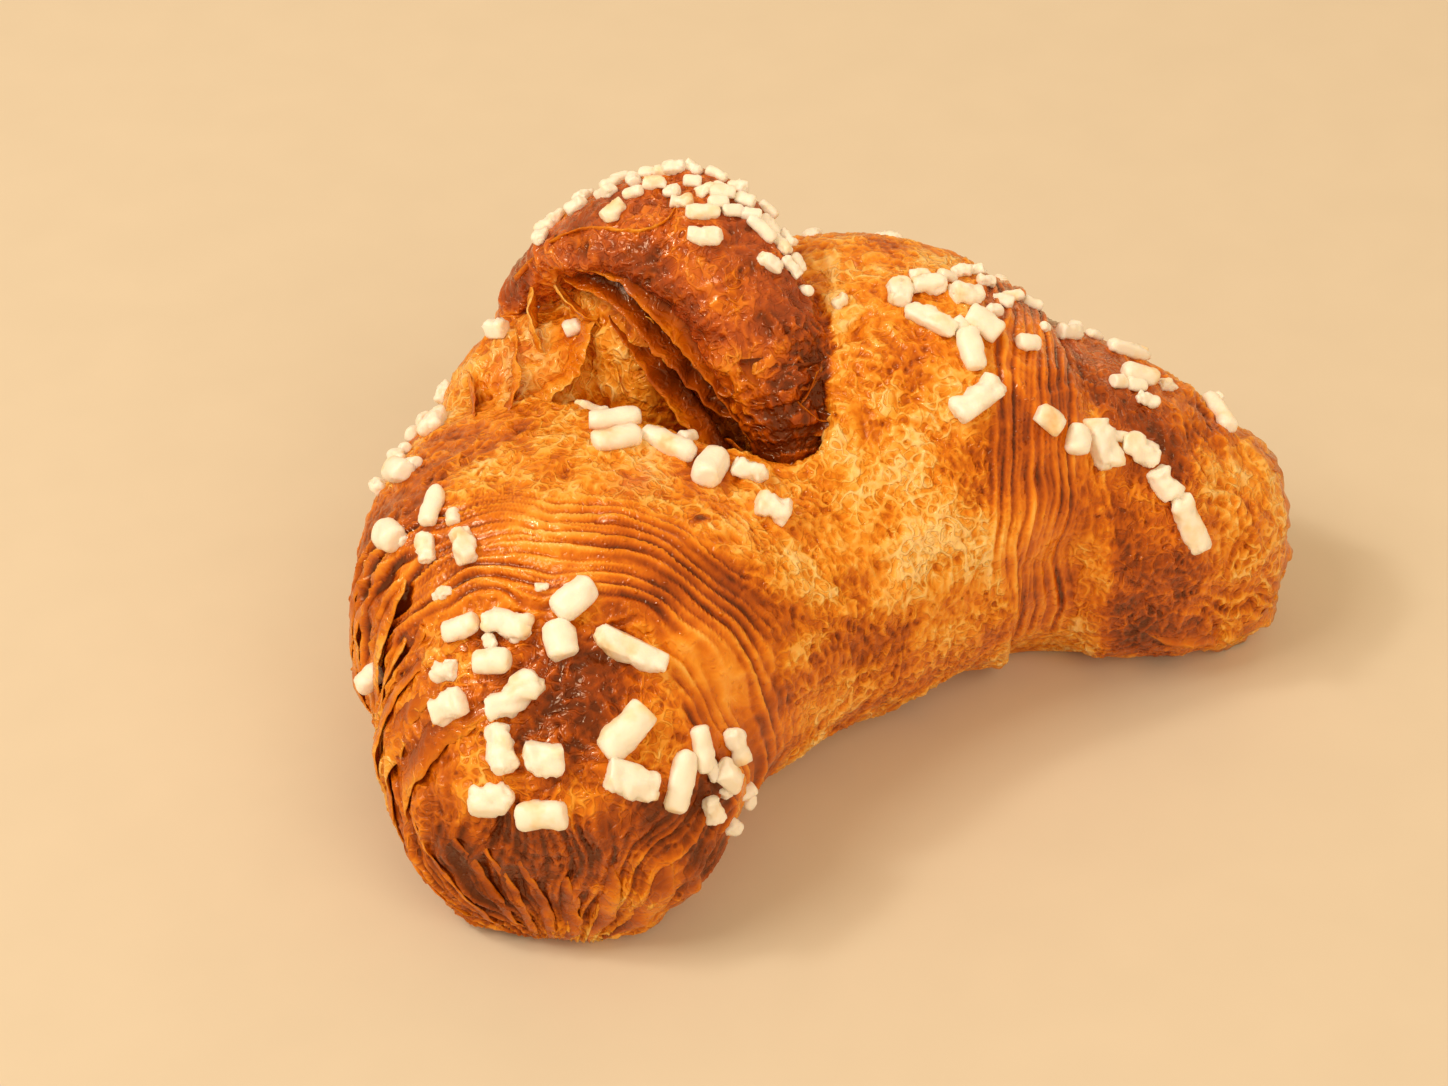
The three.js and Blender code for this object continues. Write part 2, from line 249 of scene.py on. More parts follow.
def tonguePlace(points):  # how deep in the tongue's section a point lies, how far along it, and which side
    stations = 60
    line = smoothLine(roll["tongue"], stations)
    best = np.full(len(points), 99.0)
    place = np.zeros(len(points))
    lateral = np.zeros(len(points))
    for i, (x, y, z, wide, thick) in enumerate(line):
        before, after = line[max(0, i - 1)], line[min(stations - 1, i + 1)]
        ahead = (after - before)[:3] / np.linalg.norm((after - before)[:3])
        side = np.array([1, 0, 0.3]) - ahead * ahead.dot([1, 0, 0.3])
        side /= np.linalg.norm(side)
        lift = np.cross(ahead, side)
        away = points - np.array([x, y, z])
        depth = np.sqrt((away @ side / wide) ** 2 + (away @ lift / thick) ** 2 + (away @ ahead / 3) ** 2)
        closer = depth < best
        best = np.where(closer, depth, best)
        place = np.where(closer, i / (stations - 1), place)
        lateral = np.where(closer, away @ side / wide, lateral)
    return best, place, lateral


def layerEdges(phase):  # a stack of thin sheets: each climbs slowly, then drops at its edge
    part = phase - np.floor(phase)
    return np.where(part < 0.72, part / 0.72, (1 - part) / 0.28) ** 1.3


def acrossLeftEdge(points):  # layers counted from the left horn's crease: up the arm above 0, onto the horn below 0
    foot, way, _ = edgeWays(roll["leftEdge"])
    u = (points[:, :2] - foot) @ way
    past = pastEdge(points, roll["leftEdge"])
    low = np.interp(u, [0, 8, 20, 60], [2.5, 1.5, -0.8, 0.5])
    width = np.interp(u, [0, 7, 14, 22, 34, 42, 47, 60], [11.5, 11.5, 11.8, 12.2, 12.8, 12.2, 11.5, 12.0])
    return np.where(past < low, (low - past) / width * 7.0, (low - past) / 2.0), u


def acrossRightEdge(points):  # mm across the strands of the right arm
    return 0.8 * points[:, 0] - 0.6 * points[:, 1]


def reliefOf(points):  # how far each point of the skin moves out, and where each kind of crust lies
    along, out, height = alongRoll(points)
    leftPast = pastEdge(points, roll["leftEdge"])
    rightPast = pastEdge(points, roll["rightEdge"])
    leftHorn = smooth(2.5, 5.5, leftPast)
    rightHorn = smooth(2.5, 5.5, rightPast)
    inTongue, tongueAlong, tongueSide = tonguePlace(points)
    tongue = (1 - smooth(1.1, 1.35, inTongue)) * smooth(0.1, 0.34, tongueAlong)
    tip = tongue * smooth(0.74, 0.86, tongueAlong)
    floorFade = smooth(0.3, 3.0, height)
    warp = np.stack([noiseAt(points / 7, 21), noiseAt(points / 7, 22), noiseAt(points / 7, 23)], axis=1)
    relief = dough["lumps"] * (noiseAt(points / 15, 1) + 0.6 * noiseAt(points / 7.5, 2))
    hornTop = nearBlob(points, (-53, -20, 40), (15, 16, 11)) * leftHorn

    # layers wrapped round the left arm, running together in the bay
    count, u = acrossLeftEdge(points)
    count = count + 1.6 * noiseAt(points / 14, 51) + 0.7 * noiseAt(points / 7, 52) + 0.12 * noiseAt(points / 3, 53)
    bayShare = 1 - smooth(6, 18, u)
    layers = (1 - smooth(6.2, 8.6, count)) * smooth(-2.0 - 4 * bayShare, -0.6 - 4 * bayShare, count)
    layers = layers * (1 - tongue) * smooth(-20, -26, points[:, 0])
    alongLayer = np.stack([count * 0.9, u / 16, height / 16], axis=1)  # each ridge swells and dies out along its length
    strength = 1.9 * np.clip(0.5 + 1.6 * noiseAt(alongLayer, 59), 0.05, 1)
    relief += dough["layers"] * strength * layers * (layerEdges(count) - 0.5)
    strength = 1.9 * np.clip(0.5 + 1.6 * noiseAt(alongLayer * (2.2, 1.3, 1.3), 96), 0, 1)
    finer = layerEdges(count * 2.2 + 1.2 * noiseAt(points / 9, 54)) - 0.5
    relief += 0.5 * dough["layers"] * strength * smooth(14, 26, u) * layers * finer

    # stretched strands round the right arm, tucked under the belly's last flap
    s = acrossRightEdge(points)
    strandPhase = s / 1.7 + 1.5 * noiseAt(points / 14, 55) + 0.5 * noiseAt(points / 6, 56)
    early = 3.5 * smooth(22, 36, height)
    strands = smooth(33.5, 35.5, s + early + 1.5 * noiseAt(points / 8, 83))
    strands = strands * (1 - smooth(42, 46, s + 2 * noiseAt(points / 9, 97))) * smooth(8, 15, height)
    strands = strands * (1 - 0.7 * smooth(2, 20, points[:, 1]))
    alongStrand = np.stack([strandPhase * 0.9, points[:, 1] / 14, height / 14], axis=1)
    strength = 1.9 * np.clip(0.5 + 1.6 * noiseAt(alongStrand, 60), 0.05, 1)
    relief += dough["strands"] * strength * strands * (np.abs(np.sin(math.pi * strandPhase)) - 0.6)
    finePhase = 2.3 * strandPhase + noiseAt(points / 8, 98)
    relief += 0.4 * dough["strands"] * strands * (np.abs(np.sin(math.pi * finePhase)) - 0.6)
    bayWall = smooth(-14, -20, points[:, 1])
    flapEdge = s + 0.8 * noiseAt(points / 6, 58)
    underFlap = bayWall * smooth(35.0, 35.9, flapEdge) * (1 - smooth(44, 50, s)) * (1 - smooth(26, 36, height))
    relief -= dough["flapStep"] * underFlap
    relief += 0.5 * bayWall * np.exp(-((flapEdge - 34.3) / 0.8) ** 2) * (1 - smooth(26, 36, height))

    # folds on the outer left side: sheets sprung apart, each edge running from the crest to the foot
    outerLeft = smooth(46, 52, u) * smooth(-19, -10, leftPast + 3 * noiseAt(points / 8, 94))
    outerLeft = outerLeft * (1 - smooth(12, 20, leftPast)) * (1 - smooth(40, 46, height))
    foldPhase = (leftPast + 0.30 * (height - 43)) / 3.9 + 0.5 * noiseAt(points / 9, 61)
    foldPhase = foldPhase + 0.2 * noiseAt(points / 3.5, 62)
    foldShape = layerEdges(foldPhase)
    relief += dough["folds"] * outerLeft * (foldShape - 0.6)
    relief += 0.35 * dough["folds"] * outerLeft * noiseAt(points / 2.8, 63)

    # fanned layers round the end of the left horn
    sideways = (points[:, :2] - np.array([-60.0, -33.0])) @ np.array([0.8, -0.6])
    fanTurn = np.degrees(np.arctan2(sideways, height + 3))
    fanPhase = fanTurn / 8 + 2.2 * noiseAt(points / 15, 64) + 0.25 * noiseAt(points / 4, 65)
    hornEnd = leftHorn * smooth(7, 11, leftPast) * (1 - smooth(24, 32, height)) * (1 - outerLeft)
    strength = 0.3 + 1.5 * np.clip(0.45 + 1.5 * noiseAt(points / 9, 70), 0, 1)
    relief += dough["fans"] * strength * hornEnd * (layerEdges(fanPhase) - 0.5)
    relief += 0.4 * dough["fans"] * hornEnd * (layerEdges(fanPhase * 2.3 + noiseAt(points / 7, 74)) - 0.5)
    relief += 1.3 * hornEnd * noiseAt(points / 6, 66)

    # slanting layers round the end of the right horn, and a faint honeycomb under its glaze
    rightEnd = smooth(14, 24, rightPast)
    endPhase = (height + 0.9 * rightPast) / 4.4 + 2.0 * noiseAt(points / 9, 57) + 0.3 * noiseAt(points / 3.5, 75)
    strength = 1.6 * np.clip(0.4 + 1.6 * noiseAt(points / 7, 99), 0, 1)
    relief += 0.7 * rightEnd * strength * (layerEdges(endPhase) - 0.5) + 1.3 * rightEnd * noiseAt(points / 5.5, 76)
    rightGlaze = rightHorn * (1 - rightEnd)
    near, second, _ = cellsAt(points / 2.6 + 0.6 * warp, 43)
    relief += 0.3 * rightGlaze * (1 - smooth(24, 34, height)) * np.exp(-((second - near) / 0.13) ** 2)

    # lumps in the pooled glaze, with clusters of small bubbles
    relief += dough["glazeLumps"] * hornTop * (noiseAt(points / 4.2 + warp, 67) + 0.5 * noiseAt(points / 2.0, 68))
    near, _, _ = cellsAt(points / 1.05, 44)
    bubbly = smooth(0.05, 0.3, noiseAt(points / 6.5, 69))
    glazed = np.clip(hornTop + 0.8 * nearBlob(points, (36, -20, 48), (18, 14, 16)) + 0.6 * rightGlaze, 0, 1)
    relief += 0.32 * glazed * bubbly * (1 - smooth(0.1, 0.42, near))

    # the tongue: its tip is stacked layer edges, its left underside hangs in long drapes
    tipPhase = tongueAlong * 75 / 2.0 + 1.3 * noiseAt(points / 5, 71) + 0.3 * tongueSide
    relief += dough["ledges"] * tip * (layerEdges(tipPhase) - 0.5)
    relief += 0.5 * tip * noiseAt(points / 3.2, 72)
    underside = tongue * smooth(0.45, 0.85, -tongueSide) * (1 - tip)
    drapePhase = inTongue * 3.4 + 1.4 * noiseAt(points / 9, 73)
    relief += 0.8 * underside * (layerEdges(drapePhase) - 0.5)

    # glazed lumps of inner dough at the back of the pocket
    lumps = nearBlob(points, (-20, 32, 51), (9, 9, 8))
    relief += 2.4 * lumps * np.abs(noiseAt(points / 5.2, 77)) + 0.8 * lumps * noiseAt(points / 2.6, 78)

    # broad crumples where the skin has sagged, mostly on the paler walls
    slack = 0.5 - 0.3 * tongue + 0.9 * nearBlob(points, (14, -2, 52), (20, 20, 22))
    slack = slack + 0.5 * nearBlob(points, (-2, -24, 30), (22, 12, 22))
    relief += dough["crumples"] * slack * (0.35 - np.abs(noiseAt(points / 6.5 + 0.5 * warp, 79)))
    relief += 0.4 * dough["crumples"] * slack * (0.3 - np.abs(noiseAt(points / 3.6 + 0.8 * warp, 80)))

    # fine winding wrinkles all over, and little flakes that each tilt their own way
    quiet = 0.8 * layers + 0.8 * strands + 0.5 * outerLeft + 0.45 * hornEnd + 0.3 * hornTop + 0.45 * rightGlaze
    quiet = np.clip(quiet, 0, 0.85)
    grain = np.stack([along / 2.2, out / 3.0, height / 3.0], axis=1) + 1.5 * warp
    fine = crestsAt(grain, 0.28, 31) + 0.7 * crestsAt(grain * 1.5 + 9, 0.3, 32)
    relief += dough["wrinkles"] * fine * (1 - quiet) * (0.7 + 0.9 * noiseAt(points / 8, 33))
    near, second, tilt = cellsAt(np.stack([along / 3.0, out / 4.4, height / 4.4], axis=1) + 0.9 * warp, 41)
    relief += dough["flakes"] * (1 - quiet) * tilt * smooth(0.02, 0.16, second - near)
    near, second, tilt = cellsAt(points / 1.8 + 1.2 * warp, 42)
    relief += 0.3 * dough["flakes"] * (1 - 0.6 * quiet) * tilt * smooth(0.02, 0.2, second - near)

    masks = {"tongue": tongue, "tip": tip, "underside": underside, "tongueSide": tongueSide,
             "tongueAlong": tongueAlong, "layers": layers, "strands": strands, "outerLeft": outerLeft,
             "hornEnd": hornEnd, "hornTop": hornTop, "rightEnd": rightEnd, "rightGlaze": rightGlaze,
             "glazed": glazed, "silk": np.clip(layers + strands, 0, 1),
             "foldGapShade": outerLeft * (1 - smooth(0.05, 0.45, foldShape))}
    return relief * floorFade, masks


def browningAndShadeOf(points, masks):  # 0 pale cream gold, 0.35 gold, 0.6 amber, 0.85 red brown, 1 dark; painted shade darkens the fold gaps and the inside of the pocket
    brown = 0.40 + 0.34 * noiseAt(points / 12, 81) + 0.16 * noiseAt(points / 5, 84)
    brown -= 0.10 * nearBlob(points, (-30, -2, 50), (22, 12, 12))
    # the gaps between the folds are painted darker, as painted shade between the sprung sheets
    brown += (0.31 * np.sqrt(masks["hornTop"]) + 0.28 * masks["hornEnd"] + 0.12 * masks["outerLeft"]
              + 0.22 * masks["foldGapShade"])
    brown += 0.04 * masks["layers"] + 0.06 * masks["strands"]
    brown -= 0.16 * nearBlob(points, (-32, -30, 36), (8, 8, 16)) * (1 - 0.6 * masks["hornTop"])
    brown += 0.10 * nearBlob(points, (-45, 16, 48), (16, 16, 14)) + 0.16 * nearBlob(points, (-52, 22, 38), (10, 14, 12))
    brown += 0.24 * nearBlob(points, (22, -24, 44), (9, 9, 14)) + 0.24 * masks["rightGlaze"]
    brown += -0.02 * masks["rightEnd"] + 0.26 * nearBlob(points, (64, -41, 9), (7, 7, 8))
    brown -= 0.16 * nearBlob(points, (4, -20, 40), (22, 22, 20)) + 0.18 * nearBlob(points, (14, 8, 58), (14, 20, 12))
    brown -= 0.20 * nearBlob(points, (-22, 28, 50), (8, 8, 8)) - 0.26 * nearBlob(points, (-9, 14, 60), (7, 18, 9))
    brown += 0.22 * nearBlob(points, (-3, -30, 26), (9, 6, 10))
    top = masks["tongue"] * smooth(-0.7, 0.3, masks["tongueSide"])
    brown += 0.10 * masks["tongue"] + 0.06 * top + 0.08 * masks["tip"] * (1 - top) + 0.12 * masks["tip"]
    brown += 0.14 * top * smooth(0.55, 0.75, masks["tongueAlong"])
    brown += (0.10 * masks["underside"] + 0.14 * nearBlob(points, (-10, 28, 67), (7, 8, 6))
              + 0.34 * nearBlob(points, (-2, 4, 38), (10, 13, 9)))  # the last is painted shade inside the pocket
    brown += 0.9 * nearBlob(points, (-24, -15, 49), (1.5, 1.1, 3.0)) - 0.08 * (1 - smooth(1.0, 9.0, points[:, 2]))
    return np.clip(brown, 0, 1)


def glazeOf(points, masks):  # where the egg wash has pooled and shines
    glaze = 0.5 + 0.5 * cloudAt(points / 10, 2, 91)
    glaze += 0.5 * masks["glazed"] + 0.4 * masks["tongue"] + 0.35 * masks["strands"] + 0.25 * masks["layers"]
    glaze -= 0.25 * nearBlob(points, (4, -20, 38), (22, 22, 20)) + 0.3 * (1 - smooth(6, 18, points[:, 2]))
    return np.clip(glaze, 0, 1)


def rednessOf(points, masks):  # thin pinkish skins of dough where the sugar has drawn moisture
    patches = nearBlob(points, (-26, -5, 50), (6, 4, 4)) + 0.4 * nearBlob(points, (-43, -12, 47), (5, 3, 4))
    patches += 0.7 * nearBlob(points, (-14, -1, 50), (12, 3, 3)) + 0.8 * nearBlob(points, (44, -14, 48), (5, 6, 5))
    patches += 0.7 * nearBlob(points, (-24, 29, 49), (7, 7, 5)) + 0.5 * masks["tongue"] * (1 - masks["tip"])
    return np.clip(patches * smooth(-0.4, 0.05, noiseAt(points / 3.2, 95)), 0, 1)


def nibSegment(node):  # a nib's middle, half-length vector and radius, in mm, from its CAD solid
    points = pointsOf(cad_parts[node].data) / mm
    middle = points.mean(0)
    ways = np.linalg.svd(points - middle, full_matrices=False)[2]
    if np.cross(ways[1], ways[2]) @ ways[0] < 0:
        ways[2] = -ways[2]
    reach = np.abs((points - middle) @ ways.T).max(0)
    return middle, ways[0] * reach[0], ways[1] * reach[1], ways[2] * reach[2]


sugarNodes = sorted(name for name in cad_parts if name.startswith("sugar_"))


def makeDough():
    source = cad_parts["croissant_dough"]
    obj = bpy.data.objects.new("doughSkin", source.data.copy())
    bpy.context.scene.collection.objects.link(obj)
    weld = obj.modifiers.new("weld", "WELD")
    weld.merge_threshold = 1e-6
    remesh = obj.modifiers.new("remesh", "REMESH")
    remesh.mode = "VOXEL"
    remesh.voxel_size = dough["voxel"] * mm
    ready = bpy.data.meshes.new_from_object(obj.evaluated_get(bpy.context.evaluated_depsgraph_get()))
    obj.modifiers.clear()
    obj.data = ready
    mesh = obj.data
    edges = edgesOf(mesh)
    points = relax(pointsOf(mesh) / mm, edges, dough["rounding"])
    setPoints(mesh, points * mm)
    normals = normalsOf(mesh)
    relief, masks = reliefOf(points)
    for node in sugarNodes:  # the glaze climbs a little round each nib
        middle, half, side, _ = nibSegment(node)
        local = np.linalg.norm(points - middle, axis=1) < np.linalg.norm(half) + 5
        away = points[local] - middle
        share = np.clip(away @ half / (half @ half), -0.8, 0.8)
        distance = np.linalg.norm(away - share[:, None] * half, axis=1)
        relief[local] += dough["meniscus"] * np.exp(-((distance / (np.linalg.norm(side) + 0.6)) ** 4))
    fineHeight = relief - relax(relief, edges, 14)
    moved = points + normals * relief[:, None]
    moved[:, 2] = np.maximum(moved[:, 2], 0.02)
    setPoints(mesh, moved * mm)
    # how far the skin lies below its smoothed self; the crust is painted darker there, as painted shade in the hollows
    spread = relax(moved, edges, 60)
    hollow = np.einsum("ij,ij->i", spread - moved, normalsOf(mesh))
    # paler on the fine crests and darker in the dips between them: painted highlight and painted shade
    keepAttribute(mesh, "crestShading", np.clip(0.5 + fineHeight / 0.6, 0, 1))
    keepAttribute(mesh, "hollow", np.clip(hollow / 1.6, 0, 1))
    keepAttribute(mesh, "brown", browningAndShadeOf(points, masks))
    keepAttribute(mesh, "glaze", glazeOf(points, masks))
    keepAttribute(mesh, "redness", rednessOf(points, masks))
    keepAttribute(mesh, "silk", masks["silk"])
    mesh.shade_smooth()
    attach(obj, "root")
    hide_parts("croissant_dough")
    return obj


# the look of the crust, with pattern sizes in mm
crust = {
    "wormSize": 2.1,  # between the winding wrinkles
    "fineSize": 1.2,  # between the finer ones
    "lineWidth": 0.09,  # width of a wrinkle, as a share of the noise that draws it
    "skinSize": 5.0,  # torn pale skins
    "blotchSize": 9.0,  # patches of browning
    "poreSize": 2.4,  # between pores
    "bubbleSize": 1.3,  # between bubbles in the wash
    "bendSize": 3.0,  # how often the patterns bend
    "bendReach": 1.4,  # how far they bend
    "tan": 0.175,  # browning added all over
    "wash": 0.95,  # how much egg wash is left on
    "colours": [(0.0, "#FBD590"), (0.16, "#F9C264"), (0.34, "#EFA130"), (0.5, "#DE8211"), (0.66, "#C16205"),
                (0.82, "#984202"), (1.0, "#602302")],
}


# Laminated butter crust, baked: egg-washed, so it is satin where dry and glossy where the wash has pooled. The dry
# crests of its flakes are painted paler and the valleys between them darker, as painted highlight and shade, and thin
# parts glow orange.
def makeCrustMaterial():
    material, tree, shader = newMaterial("laminated butter crust, baked")
    place = addNode(tree, "ShaderNodeTexCoord").outputs["Object"]
    field = {}  # every value by name, starting with the ones kept on the skin
    for name in ("brown", "glaze", "redness", "silk", "crestShading", "hollow"):
        field[name] = addNode(tree, "ShaderNodeAttribute", {"attribute_name": name}).outputs["Fac"]
    warp = addNode(tree, "ShaderNodeTexNoise", {}, {"Vector": place, "Scale": 1 / (crust["bendSize"] * mm),
                   "Detail": 1.0}).outputs["Color"]
    bent = addNode(tree, "ShaderNodeVectorMath", {"operation": "MULTIPLY_ADD"},
                   {0: warp, 1: (crust["bendReach"] * mm,) * 3, 2: place}).outputs[0]
    for name, vector, settings in [("worm", bent, {"Detail": 0.6, "Roughness": 0.4}),
                                   ("fine", bent, {"Detail": 0.6, "Roughness": 0.4}),
                                   ("blotch", place, {"Detail": 3.0, "Roughness": 0.55}),
                                   ("skin", bent, {"Detail": 2.0})]:
        settings.update({"Vector": vector, "Scale": 1 / (crust[name + "Size"] * mm)})
        field[name] = addNode(tree, "ShaderNodeTexNoise", {}, settings).outputs["Fac"]
    for name in ("pore", "bubble"):
        settings = {"Vector": bent, "Scale": 1 / (crust[name + "Size"] * mm)}
        field[name] = addNode(tree, "ShaderNodeTexVoronoi", {}, settings).outputs["Distance"]
    for name in ("worm", "fine"):  # distance from the middle of a winding line
        off = addNode(tree, "ShaderNodeMath", {"operation": "SUBTRACT"}, {0: field[name], 1: 0.5}).outputs[0]
        field[name] = addNode(tree, "ShaderNodeMath", {"operation": "ABSOLUTE"}, {0: off}).outputs[0]
    wide = crust["lineWidth"]
    for name, source, kind, fromLow, fromHigh, toLow, toHigh in [
            ("worm", "worm", "SMOOTHSTEP", 0.3 * wide, wide, 1.0, 0.0),  # 1 on the line
            ("fine", "fine", "SMOOTHSTEP", 0.3 * wide, wide, 1.0, 0.0),
            ("patchy", "blotch", "LINEAR", 0.42, 0.6, 1.0, 0.3),  # wrinkles fade in the darker patches
            ("pore", "pore", "LINEAR", 0.06, 0.17, 1.0, 0.0),
            ("baked", "brown", "LINEAR", 0.4, 0.7, 1.0, 0.35),  # and where the crust is dark
            ("skin", "skin", "SMOOTHSTEP", 0.485, 0.525, 0.0, 1.0),
            ("bubble", "bubble", "SMOOTHSTEP", 0.04, 0.3, 1.0, 0.0),
            ("rough", "glaze", "LINEAR", 0.0, 1.0, 0.46, 0.24)]:
        node = addNode(tree, "ShaderNodeMapRange", {"interpolation_type": kind},
                       {"Value": field[source], "From Min": fromLow, "From Max": fromHigh,
                        "To Min": toLow, "To Max": toHigh})
        field[name] = node.outputs["Result"]
    for name, operation, first, second in [
            # the wrinkles, and the skin away from the stretched layers
            ("fine", "MULTIPLY", "fine", 0.55), ("worm", "MAXIMUM", "worm", "fine"),
            ("worm", "MULTIPLY", "worm", "patchy"),
            ("silkShare", "MULTIPLY", "silk", 0.8), ("plain", "SUBTRACT", 1.0, "silkShare"),
            ("wormPlain", "MULTIPLY", "worm", "plain"), ("skinPlain", "MULTIPLY", "skin", "plain"),
            ("porePlain", "MULTIPLY", "pore", "plain"),
            # browning: blotches, wrinkles and skins; painted highlight on the crests, painted shade in the pores and
            # hollows
            ("uneven", "SUBTRACT", "blotch", 0.5), ("blotches", "MULTIPLY", "uneven", 0.75),
            ("level", "ADD", "brown", "blotches"),
            # painted highlight on the crests and painted shade in the dips, stronger on the stretched layers
            ("raised", "SUBTRACT", "crestShading", 0.5), ("silkPale", "MULTIPLY", "silk", 0.12),
            ("pale", "ADD", 0.4, "silkPale"), ("pale", "MULTIPLY", "raised", "pale"),
            ("level", "SUBTRACT", "level", "pale"),
            ("pale", "MULTIPLY", "baked", 0.28), ("pale", "MULTIPLY", "wormPlain", "pale"),
            ("level", "SUBTRACT", "level", "pale"),
            ("pale", "MULTIPLY", "baked", 0.13), ("pale", "MULTIPLY", "skinPlain", "pale"),
            ("level", "SUBTRACT", "level", "pale"),
            # painted shade in the pores and in the hollows
            ("paintedShade", "MULTIPLY", "porePlain", 0.18), ("level", "ADD", "level", "paintedShade"),
            ("paintedShade", "MULTIPLY", "hollow", 0.30), ("level", "ADD", "level", "paintedShade"),
            ("level", "ADD", "level", crust["tan"]),
            ("pink", "MULTIPLY", "redness", 0.55),
            # roughness, the wash's coat, and the height of the fine relief
            ("roughPart", "MULTIPLY", "uneven", 0.3), ("rough", "ADD", "rough", "roughPart"),
            ("wash", "MULTIPLY", "glaze", crust["wash"]),
            ("deep", "MULTIPLY", "pore", 0.8), ("height", "SUBTRACT", "worm", "deep"),
            ("height", "MULTIPLY", "height", "plain"),
            ("lift", "MULTIPLY", "skinPlain", 0.6), ("height", "ADD", "height", "lift"),
            ("lift", "MULTIPLY", "glaze", 0.8), ("lift", "MULTIPLY", "bubble", "lift"),
            ("height", "ADD", "height", "lift")]:
        node = addNode(tree, "ShaderNodeMath", {"operation": operation},
                       {0: field.get(first, first), 1: field.get(second, second)})
        field[name] = node.outputs[0]
    tint = setRamp(addNode(tree, "ShaderNodeValToRGB", {}, {"Fac": field["level"]}), crust["colours"])
    tint = addNode(tree, "ShaderNodeMix", {"data_type": "RGBA"},
                   {0: field["pink"], 6: tint, 7: linearColour("#C9684A")})
    bump = addNode(tree, "ShaderNodeBump", {}, {"Height": field["height"], "Strength": 0.8, "Distance": 0.32 * mm})
    for socket, output in [("Base Color", tint.outputs[2]), ("Roughness", field["rough"]),
                           ("Coat Weight", field["wash"]), ("Normal", bump.outputs["Normal"]),
                           ("Coat Normal", bump.outputs["Normal"])]:
        tree.links.new(output, shader.inputs[socket])
    for socket, value in [("Coat Roughness", 0.09), ("Coat IOR", 1.4), ("Coat Tint", linearColour("#FFEBC4")),
                          ("Specular Tint", linearColour("#FFE0A8")), ("IOR", 1.45), ("Subsurface Weight", 0.16),
                          ("Subsurface Radius", (1.0, 0.45, 0.15)), ("Subsurface Scale", 2.2 * mm)]:
        shader.inputs[socket].default_value = value
    return material


# Pearl sugar, pressed and dried: hard white grains fused into rods, so it is matt ivory and lets a little light in.
def makeSugarMaterial():
    material, tree, shader = newMaterial("pearl sugar, baked on")
    place = addNode(tree, "ShaderNodeTexCoord").outputs["Object"]
    grainSize, stainSize = 0.8, 5.0  # mm: fused grains, twice their real size so that they show, and caramel stains
    grain = addNode(tree, "ShaderNodeTexNoise", {}, {"Vector": place, "Scale": 1 / (grainSize * mm),
                    "Detail": 3.0}).outputs["Fac"]
    stain = addNode(tree, "ShaderNodeTexNoise", {}, {"Vector": place, "Scale": 1 / (stainSize * mm),
                    "Detail": 3.0}).outputs["Fac"]
    tint = setRamp(addNode(tree, "ShaderNodeValToRGB", {}, {"Fac": stain}),
                   [(0.0, "#FFFAF0"), (0.56, "#FDF3E2"), (0.66, "#F8E3BF"), (0.76, "#EBC080"), (0.88, "#D2934A")])
    tree.links.new(tint, shader.inputs["Base Color"])
    bump = addNode(tree, "ShaderNodeBump", {}, {"Height": grain, "Strength": 0.6, "Distance": 0.14 * mm})
    tree.links.new(bump.outputs["Normal"], shader.inputs["Normal"])
    shader.inputs["Roughness"].default_value = 0.42
    shader.inputs["IOR"].default_value = 1.54
    shader.inputs["Subsurface Weight"].default_value = 0.35
    shader.inputs["Subsurface Radius"].default_value = (1.0, 0.8, 0.55)
    shader.inputs["Subsurface Scale"].default_value = 1.3 * mm
    return material


# a nib of pearl sugar
nib = {
    "around": 22,  # points around a nib
    "rings": 19,  # and along it
    "uneven": (0.14, 0.36),  # how lumpy a nib is, from a plain rod to fused grains, as a share of its radius
    "sink": 0.34,  # how deep it sits in the glaze, as a share of its width
}


def cutFlat(points, middle, way, reach):  # presses what lies past a plane onto it, as a blade does
    way = way / np.linalg.norm(way)
    past = np.maximum((points - middle) @ way - reach, 0)
    return points - np.outer(past * 0.93, way)


def nibShape(middle, half, side, lift, seed):  # a rod with blunt, slightly broken ends
    angles = np.arange(nib["around"]) / nib["around"] * 2 * math.pi
    t = -np.cos(np.linspace(0, math.pi, nib["rings"] + 2)[1:-1])
    swell = (1 - np.abs(t) ** 6) ** (1 / 2.4)
    plain = chance.random() < 0.5
    uneven = nib["uneven"][0] if plain else nib["uneven"][1]
    points = []
    for place, share in zip(t, swell):
        for angle in angles:
            points.append(middle + half * place + share * (math.cos(angle) * side + math.sin(angle) * lift))
    points += [middle - half, middle + half]
    points = np.array(points)
    radius = np.linalg.norm(side)
    outward = points - middle
    outward -= np.outer(outward @ half / (half @ half) * 0.8, half)
    outward /= np.maximum(np.linalg.norm(outward, axis=1)[:, None], 1e-6)
    bumps = noiseAt(points / (1.2 * radius) + seed * 3.7, seed)
    bumps = bumps + 0.45 * noiseAt(points / (0.55 * radius) + seed, seed + 1)
    bumps += 0.3 * noiseAt(points / (0.3 * radius) + seed, seed + 2)
    points = points + outward * (bumps * uneven * 2.0 * radius)[:, None]
    length = np.linalg.norm(half)
    for end in (-1, 1):
        way = end * half / length + (0.16 if plain else 0.34) * chance.normal(size=3)
        points = cutFlat(points, middle, way, length * (0.88 + 0.1 * chance.random()))
    for _ in range(2 if plain else 3):
        way = chance.normal(size=3)
        way -= half * (way @ half) / length ** 2
        points = cutFlat(points, middle, way, radius * (0.8 + 0.2 * chance.random()))
    n, rings = nib["around"], nib["rings"]
    faces = []
    for r in range(rings - 1):
        for s in range(n):
            a, b = r * n + s, r * n + (s + 1) % n
            faces.append((a, b, b + n, a + n))
    first, last = len(points) - 2, len(points) - 1
    for s in range(n):
        faces.append((first, (s + 1) % n, s))
        faces.append((last, (rings - 1) * n + s, (rings - 1) * n + (s + 1) % n))
    return points, faces


